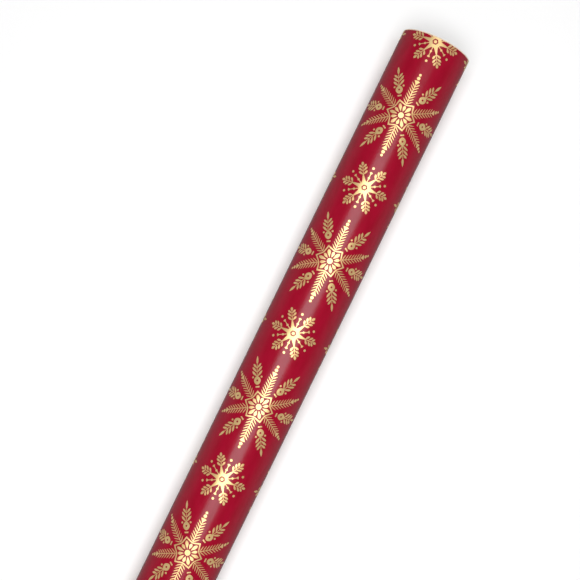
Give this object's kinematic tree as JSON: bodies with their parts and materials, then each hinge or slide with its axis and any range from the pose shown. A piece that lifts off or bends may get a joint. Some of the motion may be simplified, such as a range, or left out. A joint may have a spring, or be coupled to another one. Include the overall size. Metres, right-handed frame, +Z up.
{
  "type": "wrapping paper roll",
  "caption": "Slim roll of glossy printed gift-wrap paper on a board core, lying on its side, with an outer turn that opens out flat.",
  "frame": {"origin": "on the floor, under the middle of the roll", "axes": "+X along the roll, +Y the way the outer turn opens out, +Z up"},
  "size_m": [0.762, 0.045, 0.045],
  "materials": {
    "core_board": "plain kraft board",
    "tape": "matt double-sided tape",
    "printed_paper": "glossy coated, deep red with gold foil snowflakes, white back",
    "gold_foil": "polished metallic foil",
    "paper_back": "matt uncoated white"
  },
  "bodies": {
    "roll": {"core_inner_ply": "core_board", "core_middle_ply": "core_board", "core_outer_ply": "core_board", "start_tape": "tape", "inner_turns": "printed_paper", "outer_turn_base": "printed_paper"},
    "strip_01": {"outer_turn_strip_01": "printed_paper"},
    "strip_02": {"outer_turn_strip_02": "printed_paper"},
    "strip_03": {"outer_turn_strip_03": "printed_paper"},
    "strip_04": {"outer_turn_strip_04": "printed_paper"},
    "strip_05": {"outer_turn_strip_05": "printed_paper"},
    "strip_06": {"outer_turn_strip_06": "printed_paper"},
    "strip_07": {"outer_turn_strip_07": "printed_paper"},
    "strip_08": {"outer_turn_strip_08": "printed_paper"},
    "strip_09": {"outer_turn_strip_09": "printed_paper"},
    "strip_10": {"outer_turn_strip_10": "printed_paper"},
    "strip_11": {"outer_turn_strip_11": "printed_paper"},
    "strip_12": {"outer_turn_strip_12": "printed_paper"},
    "strip_13": {"outer_turn_strip_13": "printed_paper"}
  },
  "joints": [
    {"name": "unroll_01", "type": "hinge", "parent": "roll", "child": "strip_01", "pos_m": [0, 0.00439, 0.00043], "axis": [-1, 0, 0], "range_deg": [0, 22.5]},
    {"name": "unroll_02", "type": "hinge", "parent": "strip_01", "child": "strip_02", "pos_m": [0, 0.01251, 0.0038], "axis": [-1, 0, 0], "range_deg": [0, 22.5]},
    {"name": "unroll_03", "type": "hinge", "parent": "strip_02", "child": "strip_03", "pos_m": [0, 0.01872, 0.01001], "axis": [-1, 0, 0], "range_deg": [0, 22.5]},
    {"name": "unroll_04", "type": "hinge", "parent": "strip_03", "child": "strip_04", "pos_m": [0, 0.02209, 0.01813], "axis": [-1, 0, 0], "range_deg": [0, 22.5]},
    {"name": "unroll_05", "type": "hinge", "parent": "strip_04", "child": "strip_05", "pos_m": [0, 0.02209, 0.02691], "axis": [-1, 0, 0], "range_deg": [0, 22.5]},
    {"name": "unroll_06", "type": "hinge", "parent": "strip_05", "child": "strip_06", "pos_m": [0, 0.01872, 0.03503], "axis": [-1, 0, 0], "range_deg": [0, 22.5]},
    {"name": "unroll_07", "type": "hinge", "parent": "strip_06", "child": "strip_07", "pos_m": [0, 0.01251, 0.04124], "axis": [-1, 0, 0], "range_deg": [0, 22.5]},
    {"name": "unroll_08", "type": "hinge", "parent": "strip_07", "child": "strip_08", "pos_m": [0, 0.00439, 0.0446], "axis": [-1, 0, 0], "range_deg": [0, 22.5]},
    {"name": "unroll_09", "type": "hinge", "parent": "strip_08", "child": "strip_09", "pos_m": [0, -0.00439, 0.0446], "axis": [-1, 0, 0], "range_deg": [0, 22.5]},
    {"name": "unroll_10", "type": "hinge", "parent": "strip_09", "child": "strip_10", "pos_m": [0, -0.01251, 0.04124], "axis": [-1, 0, 0], "range_deg": [0, 22.5]},
    {"name": "unroll_11", "type": "hinge", "parent": "strip_10", "child": "strip_11", "pos_m": [0, -0.01872, 0.03503], "axis": [-1, 0, 0], "range_deg": [0, 22.5]},
    {"name": "unroll_12", "type": "hinge", "parent": "strip_11", "child": "strip_12", "pos_m": [0, -0.02209, 0.02691], "axis": [-1, 0, 0], "range_deg": [0, 22.5]},
    {"name": "unroll_13", "type": "hinge", "parent": "strip_12", "child": "strip_13", "pos_m": [0, -0.02209, 0.01813], "axis": [-1, 0, 0], "range_deg": [0, 22.5]}
  ],
  "couplings": [
    {"joint": "unroll_02", "follows": "unroll_01", "ratio": 1},
    {"joint": "unroll_03", "follows": "unroll_01", "ratio": 1},
    {"joint": "unroll_04", "follows": "unroll_01", "ratio": 1},
    {"joint": "unroll_05", "follows": "unroll_01", "ratio": 1},
    {"joint": "unroll_06", "follows": "unroll_01", "ratio": 1},
    {"joint": "unroll_07", "follows": "unroll_01", "ratio": 1},
    {"joint": "unroll_08", "follows": "unroll_01", "ratio": 1},
    {"joint": "unroll_09", "follows": "unroll_01", "ratio": 1},
    {"joint": "unroll_10", "follows": "unroll_01", "ratio": 1},
    {"joint": "unroll_11", "follows": "unroll_01", "ratio": 1},
    {"joint": "unroll_12", "follows": "unroll_01", "ratio": 1},
    {"joint": "unroll_13", "follows": "unroll_01", "ratio": 1}
  ]
}
